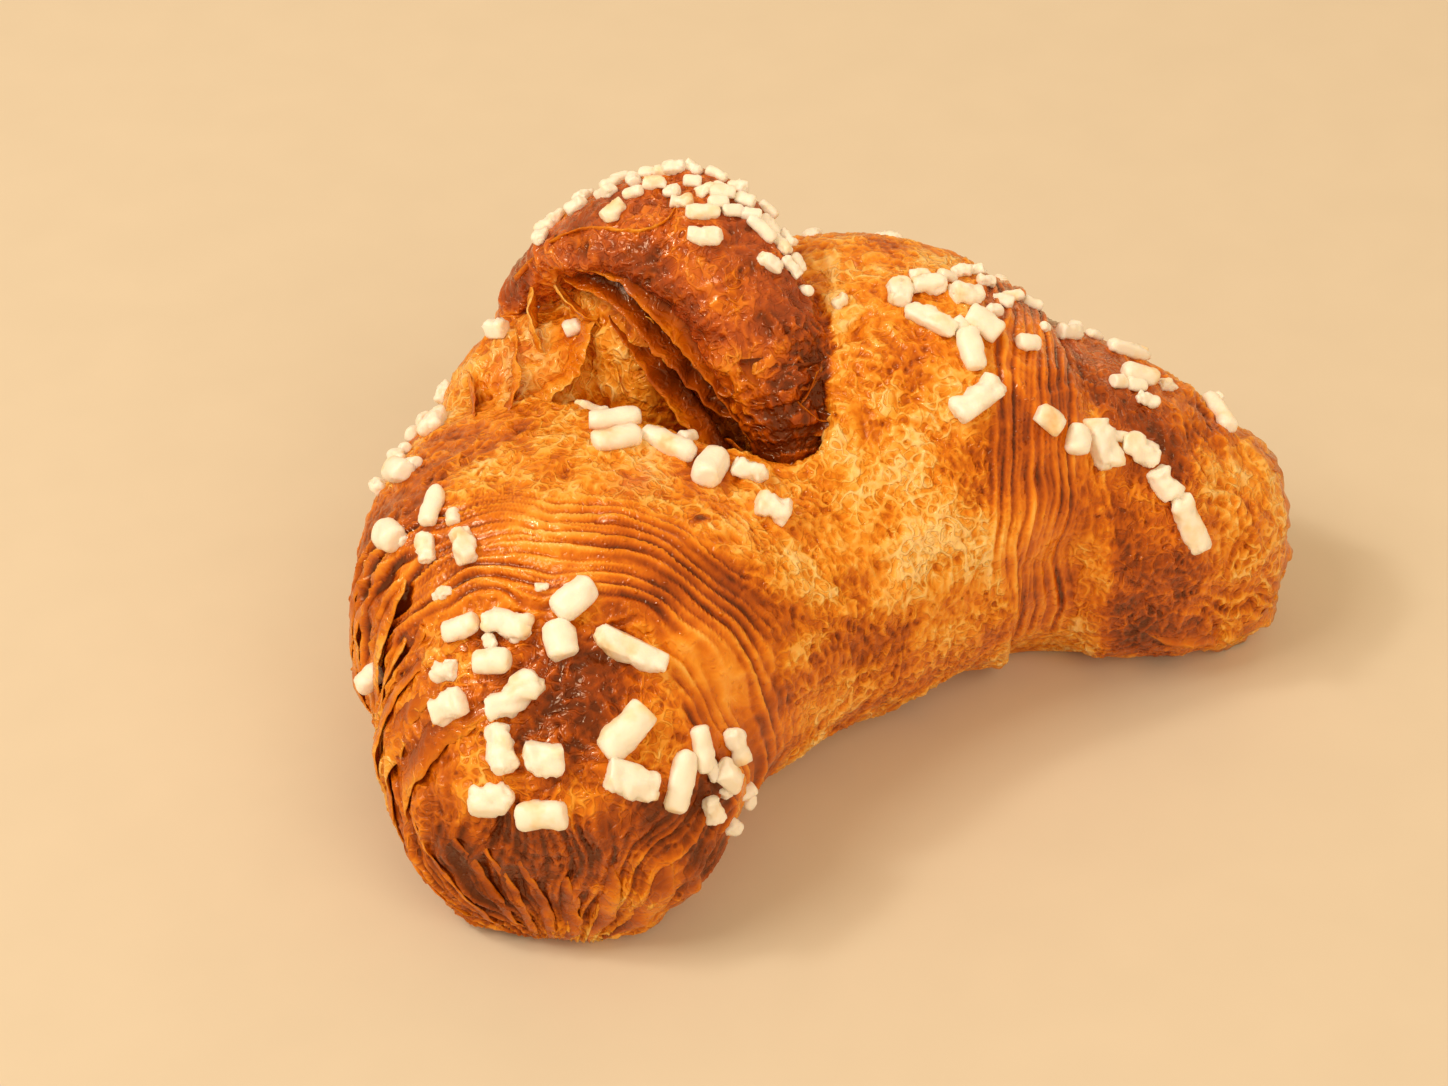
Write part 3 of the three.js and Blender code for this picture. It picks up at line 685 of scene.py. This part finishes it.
def seatNib(tree, middle, side):  # moves a nib's middle down its own shortest way until it sits in the glaze
    spot, normal, _, _ = tree.find_nearest(Vector(middle * mm))
    spot = np.array(spot) / mm
    away = middle - spot
    distance = np.linalg.norm(away)
    way = away / max(distance, 1e-6)
    if way @ np.array(normal) < 0:
        way = -way
    wide = 2 * np.linalg.norm(side)
    return spot + way * (0.5 - nib["sink"]) * wide


def joined(shapes):  # several loose shapes as one list of points and faces
    points, faces, count = [], [], 0
    for shapePoints, shapeFaces in shapes:
        points.append(shapePoints)
        faces += [tuple(i + count for i in face) for face in shapeFaces]
        count += len(shapePoints)
    return np.vstack(points), faces


def makeNibs(tree, material):
    for i, node in enumerate(sugarNodes):
        middle, half, side, lift = nibSegment(node)
        middle = seatNib(tree, middle, side)
        points, faces = nibShape(middle, half * 1.12, side * 1.03, lift * 1.08, 200 + i)
        obj = meshObject(node.replace("sugar_", "nib_"), points * mm, faces)
        obj.data.materials.append(material)
        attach(obj, "root")
        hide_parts(node)


# the smallest nibs: x, y, z, length, width in mm, and turn on the crust in degrees
smallNibs = {
    "leftHorn": [(-48, -12, 47, 2.0, 1.4, -26), (-35, -37, 14, 3.2, 2.3, -57), (-54, -11, 42, 4.0, 2.0, -77),
                 (-53, -14, 42, 3.2, 1.8, -22), (-56, -12, 41, 2.9, 1.8, 70), (-61, -10, 38, 2.0, 1.6, -59),
                 (-61, -31, 27, 1.8, 1.5, -7), (-39, -37, 27, 3.8, 2.3, 85), (-37, -38, 23, 2.9, 2.0, -69),
                 (-29, -32, 12, 3.5, 2.6, -75), (-31, -35, 17, 3.0, 2.2, 20), (-49, -37, 29, 2.6, 1.8, -21)],
    "leftArm": [(-50, 6, 48, 2.9, 2.0, 58), (-46, 23, 44, 3.2, 2.3, -86), (-48, 28, 38, 3.4, 2.6, 68),
                (-55, 12, 43, 3.8, 2.3, 83), (-57, -1, 43, 3.4, 2.0, -82), (-15, 0, 49, 3.5, 2.0, 10),
                (-66, 6, 27, 4.8, 3.4, -9), (-42, 31, 40, 2.6, 2.0, 79), (-38, 36, 38, 4.6, 2.6, 60),
                (-44, 29, 40, 4.0, 2.4, 70), (-36, 38, 40, 3.4, 2.6, 20)],
    "tongueBack": [(-12, 38, 62, 3.6, 2.6, -60), (-10, 39, 64, 3.4, 2.4, 10), (-8, 35, 66, 3.5, 2.4, -60),
                   (-6, 37, 66, 3.4, 2.2, 30), (-5, 32, 68, 3.5, 2.5, -82), (-3, 34, 68, 3.2, 2.2, 0),
                   (-3, 28, 70, 3.2, 2.0, -54), (-1, 31, 69, 3.4, 2.2, 60), (2, 32, 69, 2.9, 2.0, -56),
                   (2, 29, 71, 2.9, 2.0, -37), (-9, 42, 61, 3.2, 2.2, 70), (0, 36, 67, 3.0, 2.2, -20),
                   (5, 30, 69, 3.2, 2.0, 10), (6, 27, 71, 3.0, 2.0, -70), (-14, 35, 61, 3.0, 2.2, 40)],
    "tongueTop": [(0, 21, 71, 3.5, 2.2, -39), (4, 24, 72, 2.9, 2.0, -42), (8, 24, 71, 3.5, 2.0, -52),
                  (1, 24, 71, 2.6, 2.0, -46), (4, 21, 72, 2.9, 2.0, -34), (6, 20, 71, 3.2, 2.0, -45),
                  (9, 20, 70, 3.2, 2.0, -44), (4, 18, 71, 3.2, 2.0, -27), (8, 17, 70, 3.2, 2.2, -59),
                  (5, 16, 70, 3.3, 2.0, -28), (7, 14, 70, 3.2, 2.0, -49), (9, 13, 68, 3.8, 2.2, -69),
                  (8, 7, 64, 3.8, 1.9, -73), (10, 8, 64, 3.2, 1.8, -82), (9, 4, 62, 3.2, 1.8, 81),
                  (9, 10, 66, 3.5, 2.0, -82), (11, 16, 68, 3.4, 2.0, -60), (11, 11, 66, 3.0, 1.8, -75)],
    "hollow": [(-8, 22, 59, 3.5, 2.9, -74), (-6, 15, 53, 3.0, 3.4, 80), (-16, 36, 51, 1.8, 1.2, -5),
               (-23, 35, 50, 3.8, 3.2, -65), (-14, 28, 51, 2.9, 2.6, -23)],
    "rightArm": [(26, -1, 60, 2.9, 2.0, -23), (29, -3, 59, 3.5, 2.0, -15), (33, -2, 58, 3.5, 2.0, -8),
                 (35, -5, 57, 3.2, 2.0, -20), (36, -2, 57, 3.0, 2.0, -38), (35, -9, 56, 3.5, 2.0, -55),
                 (31, -11, 57, 2.9, 2.0, -19), (38, -8, 55, 3.5, 2.0, -16), (41, -9, 53, 3.2, 2.0, -35),
                 (39, -14, 53, 2.6, 1.6, -32), (51, -12, 44, 3.2, 1.8, -1), (58, -14, 41, 4.0, 2.6, -30),
                 (45, -23, 45, 2.9, 2.3, -17), (48, -24, 44, 3.6, 2.3, -27), (48, -27, 43, 3.8, 2.0, -39),
                 (55, -24, 41, 3.2, 2.0, -20), (66, -24, 34, 4.0, 2.6, 60), (56, -17, 42, 3.6, 2.2, -10),
                 (28, -7, 59, 3.2, 2.6, -20), (21, -3, 59, 3.6, 2.9, 62), (21, -8, 58, 4.0, 2.3, -73),
                 (25, -12, 57, 4.0, 2.6, -77), (40, -30, 42, 2.8, 1.8, -34), (14, 2, 59, 2.6, 1.8, 10)],
    "back": [(-20, 45, 40, 4.0, 2.8, 30), (-28, 40, 38, 3.6, 2.6, -20), (24, 22, 52, 3.8, 2.4, 45),
             (32, 14, 50, 4.2, 2.8, -30), (44, 2, 47, 4.0, 2.6, 15), (55, -4, 40, 4.4, 2.8, 60)],
}


def makeSmallNibs(tree, material):
    shapes = []
    for place in smallNibs.values():
        for x, y, z, length, wide, turn in place:
            spot, normal, _, _ = tree.find_nearest(Vector((x, y, z)) * mm)
            normal = np.array(normal)
            flat = np.array([1, 0, 0]) - normal * normal[0]
            flat /= np.linalg.norm(flat)
            cross = np.cross(normal, flat)
            angle = math.radians(turn)
            axis = math.cos(angle) * flat + math.sin(angle) * cross
            side = np.cross(normal, axis) * wide / 2
            middle = np.array(spot) / mm + normal * wide * 0.22
            shapes.append(nibShape(middle, axis * length / 2, side, normal * wide * 0.42, 400 + len(shapes)))
    points, faces = joined(shapes)
    obj = meshObject("small_nibs", points * mm, faces)
    obj.data.materials.append(material)
    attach(obj, "root")
    return len(shapes)


# a loose sheet of the laminated dough
sheet = {
    "thick": 0.42,  # mm
    "steps": (64, 8),  # points along and across
}


def sheetShape(roots, edges, arch, wave, brown, seed):  # a thin sheet from its root line to its free edge
    lengthways, crossways = sheet["steps"]
    root, edge = smoothLine(roots, lengthways), smoothLine(edges, lengthways)
    t = np.linspace(0, 1, lengthways)
    reach = np.sin(math.pi * np.clip(t * 0.94 + 0.03, 0, 1)) ** 0.5
    walk = np.concatenate([[0], np.cumsum(np.linalg.norm(np.diff(root, axis=0), axis=1))])
    ragged = 1 + 0.28 * noiseAt(np.stack([walk / 2.2, walk * 0 + seed * 1.7, walk * 0], axis=1), seed)
    v = np.linspace(0, 1, crossways)
    share = v[None, :] * (reach * ragged)[:, None]
    grid = root[:, None] * (1 - share[..., None]) + edge[:, None] * share[..., None]
    normal = np.cross(np.gradient(grid, axis=0), np.gradient(grid, axis=1))
    normal /= np.maximum(np.linalg.norm(normal, axis=2), 1e-9)[..., None]
    where = np.stack([np.repeat(walk[:, None] / 3.2, crossways, 1), np.repeat(v[None] * 1.1, lengthways, 0),
                      np.full((lengthways, crossways), seed * 2.3)], axis=2).reshape(-1, 3)
    ripple = noiseAt(where, seed + 1) + 0.5 * noiseAt(where * 2.3, seed + 2)
    ripple = ripple.reshape(lengthways, crossways) * (0.3 + v[None])
    grid = grid + normal * (arch * np.sin(math.pi * v)[None] + wave * ripple)[..., None]
    half = sheet["thick"] / 2 * (1.15 - 0.75 * v[None] ** 2)[..., None]
    points = np.concatenate([(grid + normal * half).reshape(-1, 3), (grid - normal * half).reshape(-1, 3)])
    n, faces, flip = crossways, [], lengthways * crossways
    for i in range(lengthways - 1):
        for j in range(crossways - 1):
            a = i * n + j
            faces.append((a, a + n, a + n + 1, a + 1))
            faces.append((a + flip, a + 1 + flip, a + n + 1 + flip, a + n + flip))
    rim = list(range(n)) + [i * n + n - 1 for i in range(1, lengthways)]
    rim += [(lengthways - 1) * n + j for j in range(n - 2, -1, -1)] + [i * n for i in range(lengthways - 2, 0, -1)]
    for a, b in zip(rim, rim[1:] + rim[:1]):
        faces.append((a, b, b + flip, a + flip))
    # the sheet is painted paler towards its free edge, as painted highlight
    crestShading = ((0.42 + 0.42 * v ** 3)[None] + 0.25 * ripple).reshape(-1)
    # painted shade near the root, where the sheet meets the crust
    hollow = np.repeat((0.55 * (1 - v) ** 1.5)[None], lengthways, 0).reshape(-1)
    browning = np.full(len(points), brown) + 0.16 * np.tile(noiseAt(where * 0.7, seed + 5), 2)
    return points, faces, np.tile(crestShading, 2), np.tile(hollow, 2), browning


def makeSheets(name, sheets, material):
    shapes = [sheetShape(*recipe, 500 + 7 * i + len(name)) for i, recipe in enumerate(sheets)]
    points, faces = joined([shape[:2] for shape in shapes])
    obj = meshObject(name, points * mm, faces)
    for k, field in enumerate(("crestShading", "hollow", "brown"), start=2):
        keepAttribute(obj.data, field, np.clip(np.concatenate([shape[k] for shape in shapes]), 0, 1))
    keepAttribute(obj.data, "glaze", np.full(len(points), 0.62))
    keepAttribute(obj.data, "redness", np.zeros(len(points)))
    keepAttribute(obj.data, "silk", np.full(len(points), 0.6))
    obj.data.materials.append(material)
    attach(obj, "root")
    print(name + ":", len(sheets), "sheets")


def tongueSheets():  # drapes hanging from the tongue's left edge, one under the other
    edge = np.array([(-17.5, 37, 58), (-14.4, 30.5, 62.8), (-10.6, 22.5, 64.0), (-8.4, 15.5, 60.6), (-6.6, 9.5, 55.6),
                     (-5.2, 3.5, 49.5), (-4.6, -2, 42.5)])
    fall, out = np.array([-0.42, -0.12, -0.90]), np.array([-0.50, -0.66, 0.56])
    sway = np.array([1.0, 1.9, 0.6, 1.5, 0.5, 1.3, 1.7])[:, None]  # how far the free edge swings out along it
    sheets = []
    for k, (deep, brown) in enumerate([(1.0, 0.66), (4.6, 0.7), (9.0, 0.62)]):
        root = edge + fall * (deep - 2.2) - out * (0.6 + 0.9 * k) + np.array([1.4, 0, 0])
        free = edge + fall * (deep + 1.4) + out * sway * (1 - 0.35 * k)
        start, stop = [(0, 7), (1, 6), (2, 7)][k]
        sheets.append((root[start:stop], free[start:stop], 0.5, 0.45, brown))
    lipRoot = [(-19, 37, 57), (-13, 33.5, 64.5), (-9.6, 28, 67.4), (-7.2, 23.5, 68.6), (-4.5, 21.6, 69.6),
               (-1.5, 22.5, 70.6), (0.5, 26, 71.0)]
    lipEdge = [(-19, 36, 60), (-13.6, 31.4, 66), (-10.2, 26.4, 68.6), (-7.8, 21.9, 69.5), (-4.6, 19.9, 70.6),
               (-0.3, 21.2, 71.9), (2, 25.4, 72)]
    sheets.append((lipRoot, lipEdge, 0.5, 0.35, 0.6))
    return sheets


# the leaves in the pocket: root line, free edge, arch and waviness in mm, browning
pocketSheets = [
    ([(-9, 28, 55), (-11, 29, 52), (-14, 29, 48), (-19, 27, 45.5), (-25, 23, 46)],
     [(-11.5, 23.4, 58), (-14.3, 23, 55), (-17, 21.8, 51.5), (-20.5, 19.6, 49.4), (-25.5, 17.2, 49.2)], 1.2, 0.9, 0.4),
    ([(-8, 27, 54), (-6, 24, 55), (-5, 20, 54), (-5.5, 17, 50), (-4, 14, 44)],
     [(-12.5, 22.8, 57.5), (-10.6, 19.6, 58.4), (-9.2, 16.6, 57), (-9.2, 13.2, 52), (-7, 11, 46.5)], 1.0, 0.9, 0.42),
    ([(-11, 26, 52), (-10, 23, 48), (-10, 19, 44), (-8, 16, 40)],
     [(-14.5, 21.2, 53), (-14, 18.6, 49.6), (-13.6, 16, 46), (-10.5, 13.4, 42.5)], 0.9, 0.8, 0.34),
    ([(-20, 34, 50), (-22, 31, 48), (-25, 27, 46), (-30, 24, 45)],
     [(-22.5, 31.5, 53), (-24.5, 28, 51), (-27, 24, 49.8), (-31.5, 20.5, 48.8)], 0.8, 0.8, 0.55),
    ([(-26, 37, 44), (-28, 33, 44), (-31, 28, 43.5), (-36, 24, 43)],
     [(-28.5, 37, 47.5), (-30.5, 32, 47.6), (-33, 27, 47), (-37.5, 23, 46)], 0.7, 0.7, 0.52),
    ([(-15, 36, 56), (-17, 34, 54), (-19, 31, 52), (-20, 28, 50)],
     [(-17.5, 34, 58), (-19.8, 31.5, 56), (-21, 28.4, 54), (-21.5, 25.5, 51.5)], 0.7, 0.8, 0.38),
    ([(-14, 33, 57), (-13.5, 30, 55), (-12.5, 27, 54), (-11, 24, 52)],
     [(-16.5, 29.8, 58.6), (-15.8, 26.6, 57), (-14.6, 23.8, 55.4), (-12.8, 21, 53)], 0.6, 0.8, 0.36),
    ([(-3, 12, 38), (-1, 8, 36), (0, 4, 36), (1, 0, 37)],
     [(-6.5, 9.5, 42), (-5, 5.5, 41.5), (-4.4, 1.5, 42), (-3.5, -2.5, 43)], 0.8, 0.9, 0.66),
    ([(-6, 14, 38), (-4, 11, 35), (-2, 7, 34), (-1, 3, 34)],
     [(-9, 11, 41), (-8, 7.6, 40), (-7, 4, 40), (-6, 0.5, 41)], 0.8, 0.9, 0.6),
]


def tipSheets():  # crumpled leaves under the tongue's tip
    sheets = []
    for k in range(13):
        t = k / 12
        centre = np.array([-4.2 + 7.5 * t, 4.5 - 11 * t, 53 - 4 * t]) + chance.normal(size=3) * (1.0, 1.2, 3.2)
        down = np.array([-0.25, -0.25, -0.93]) + 0.35 * chance.normal(size=3)
        sideways = np.array([0.55, -0.75, 0.1]) + 0.4 * chance.normal(size=3)
        down, sideways = down / np.linalg.norm(down), sideways / np.linalg.norm(sideways)
        out = np.array([-0.46, -0.61, 0.3])
        stations = np.linspace(-1, 1, 4)
        roots = [centre + sideways * 2.8 * s + out * 0.2 - down * 2 for s in stations]
        edges = [centre + sideways * 3.2 * s + out * (1.6 + 0.8 * chance.random()) + down * 1.8 for s in stations]
        sheets.append((roots, edges, 0.9, 0.9, 0.66))
    return sheets


def hitFrom(tree, start, way):  # where a straight line first meets the skin, and the skin's normal there
    spot, normal, _, _ = tree.ray_cast(Vector(start) * mm, Vector(way))
    return (np.array(spot) / mm, np.array(normal)) if spot else (None, None)


def lappedSheet(lines, arch, wave, brown):  # one sheet's recipe, if both its lines met enough of the skin
    shortest = min(len(lines[0]), len(lines[1]))
    return [(lines[0][:shortest], lines[1][:shortest], arch, wave, brown)] if shortest > 3 else []


def foldSheets(tree):  # thin sheets standing off the outer left side, from its crest down to its foot
    foot, way, outward = edgeWays(roll["leftEdge"])
    sheets = []
    for k, past in enumerate([-15, -11.4, -8.2, -5.2, -2.0, 1.4, 4.6, 8.0, 11.5, 15.5]):
        lines = []
        for ahead, lift in ((0.0, -0.7), (3.9, 0.5)):
            line = []
            for z in np.linspace(41 - 1.2 * (k % 3), 3 + 2 * (k % 2), 9):
                start = foot + way * 90 + outward * (past + ahead - 0.26 * (z - 42) + 0.9 * math.sin(z / 6 + k))
                spot, normal = hitFrom(tree, (start[0], start[1], z), (-way[0], -way[1], 0))
                if spot is not None:
                    line.append(spot + normal * lift)
            lines.append(line)
        sheets += lappedSheet(lines, 0.4, 0.55, 0.46)
    return sheets


def hornSheets(tree, middle, bands, brown):  # sheets lapped round the end of a horn
    sheets = []
    for turnFrom, turnTo, heightFrom, heightTo, drop, swing in bands:
        lines = []
        for fall, turned, lift in ((0.0, 0.0, -0.6), (drop, swing, 0.5 if swing else 1.1)):
            line = []
            for s in np.linspace(0, 1, 8):
                a = math.radians(turnFrom + (turnTo - turnFrom) * s + turned)
                z = max(0.8, heightFrom + (heightTo - heightFrom) * s - fall)
                spot, normal = hitFrom(tree, (middle[0] + 60 * math.cos(a), middle[1] + 60 * math.sin(a), z),
                                       (-math.cos(a), -math.sin(a), 0))
                if spot is not None:
                    line.append(spot + normal * lift)
            lines.append(line)
        sheets += lappedSheet(lines, 0.35, 0.5, brown)
    return sheets


# the sheets on each horn: turn from and to in degrees, height from and to, drop, and swing in degrees
leftHornBands = [(-212, -168, 19, 4, 2, 6), (-196, -156, 24, 3, 2, 7), (-178, -146, 25, 3, 1, 8),
                 (-160, -138, 22, 2, 1, 8), (-143, -130, 20, 2, 1, 8), (-122, -122, 17, 2, 1, 9),
                 (-101, -112, 19, 2, 1, 8), (-82, -101, 19, 3, 1, 8), (-66, -88, 17, 4, 1, 7)]
rightHornBands = [(-80, 10, 24, 30, 5, 0), (-90, 0, 16, 20, 5, 0), (-100, -10, 9, 11, 4.5, 0), (-110, -30, 5, 5, 4, 0),
                  (-60, 40, 32, 26, 5, 0), (-30, 50, 18, 12, 5, 0), (-140, -90, 14, 9, 4, 0)]


# camera, floor and light: places in mm, turns in degrees, powers in watts
studio = {
    "target": (-7.9, 0.7, 26.0),  # what the camera looks at
    "azimuth": -37.0,
    "elevation": 40.0,
    "distance": 470.0,
    "lens": 80.0,  # mm, on a sensor 36 mm wide
    "sensor": 36.0,
    "floorWidth": 12.0,  # metres
    "mottleSize": 40 / 3,  # mm, faint patches in the paper
    "keyPower": 7.4,
    "glintPower": 1.7,
    "fillPower": 7.5,
    "rimPower": 1.0,
    "sky": 0.68,
}


def aim(obj, place, target):
    obj.location = Vector(place) * mm
    obj.rotation_euler = (Vector(target) * mm - obj.location).to_track_quat("-Z", "Y").to_euler()


def makeStudio():
    scene = bpy.context.scene
    camera = bpy.data.objects.new("camera", bpy.data.cameras.new("camera"))
    scene.collection.objects.link(camera)
    a, e = math.radians(studio["azimuth"]), math.radians(studio["elevation"])
    back = Vector((math.sin(a) * math.cos(e), -math.cos(a) * math.cos(e), math.sin(e)))
    aim(camera, Vector(studio["target"]) + back * studio["distance"], studio["target"])
    camera.data.lens = studio["lens"]
    camera.data.sensor_width = studio["sensor"]
    scene.camera = camera

    reach = studio["floorWidth"] / 2
    corners = [(-reach, -reach, 0), (reach, -reach, 0), (reach, reach, 0), (-reach, reach, 0)]
    floor = meshObject("studioFloor", corners, [(0, 1, 2, 3)])
    # matt paper: uncoated and rough, so it takes soft shadows and has no shine
    material, tree, shader = newMaterial("matt paper floor")
    mottle = studio["floorWidth"] / (studio["mottleSize"] * mm)  # patches across the whole floor
    grain = addNode(tree, "ShaderNodeTexNoise", {}, {"Scale": mottle, "Detail": 2.0}).outputs["Fac"]
    tint = setRamp(addNode(tree, "ShaderNodeValToRGB", {}, {"Fac": grain}), [(0.3, "#D9CDB7"), (0.7, "#DBCFB9")])
    tree.links.new(tint, shader.inputs["Base Color"])
    shader.inputs["Roughness"].default_value = 0.9
    floor.data.materials.append(material)

    # name, place and size in mm, power, colour
    lights = [("keyLight", (-820, 260, 1100), 700, studio["keyPower"], "#FFF2E0"),
              ("fillLight", (-160, -1150, 1050), 1100, studio["fillPower"], "#FFEFD8"),
              ("glintLight", (-560, 330, 860), 120, studio["glintPower"], "#FFF4E2"),
              ("rimLight", (1100, 560, 700), 500, studio["rimPower"], "#FFE3C0")]
    for name, place, size, power, tint in lights:
        data = bpy.data.lights.new(name, "AREA")
        data.shape = "DISK"
        data.size = size * mm
        data.energy = power
        data.color = linearColour(tint)[:3]
        light = bpy.data.objects.new(name, data)
        scene.collection.objects.link(light)
        light.visible_glossy = name != "fillLight"  # the fill only lifts the shade, so the wash keeps a clean shine
        aim(light, place, (0, 0, 20))
    world = bpy.data.worlds.new("soft room")
    scene.world = world
    world.use_nodes = True
    background = world.node_tree.nodes["Background"]
    background.inputs["Color"].default_value = linearColour("#FFDCAE")
    background.inputs["Strength"].default_value = studio["sky"]
    scene.view_settings.view_transform = "Standard"


makeStudio()
print("studio ready")
crustMaterial = makeCrustMaterial()
sugarMaterial = makeSugarMaterial()
skin = makeDough()
skin.data.materials.clear()
skin.data.materials.append(crustMaterial)
print("dough skin:", len(skin.data.vertices), "points")
skinTree = BVHTree.FromPolygons([v.co for v in skin.data.vertices], [p.vertices[:] for p in skin.data.polygons])
makeNibs(skinTree, sugarMaterial)
print("pearl sugar:", len(sugarNodes), "nibs and", makeSmallNibs(skinTree, sugarMaterial), "small ones")
makeSheets("tongue_sheets", tongueSheets(), crustMaterial)
makeSheets("pocket_sheets", pocketSheets, crustMaterial)
makeSheets("tip_leaves", tipSheets(), crustMaterial)
makeSheets("fold_sheets", foldSheets(skinTree), crustMaterial)
makeSheets("left_horn_sheets", hornSheets(skinTree, (-52, -19), leftHornBands, 0.56), crustMaterial)
makeSheets("right_horn_sheets", hornSheets(skinTree, (56, -26), rightHornBands, 0.5), crustMaterial)
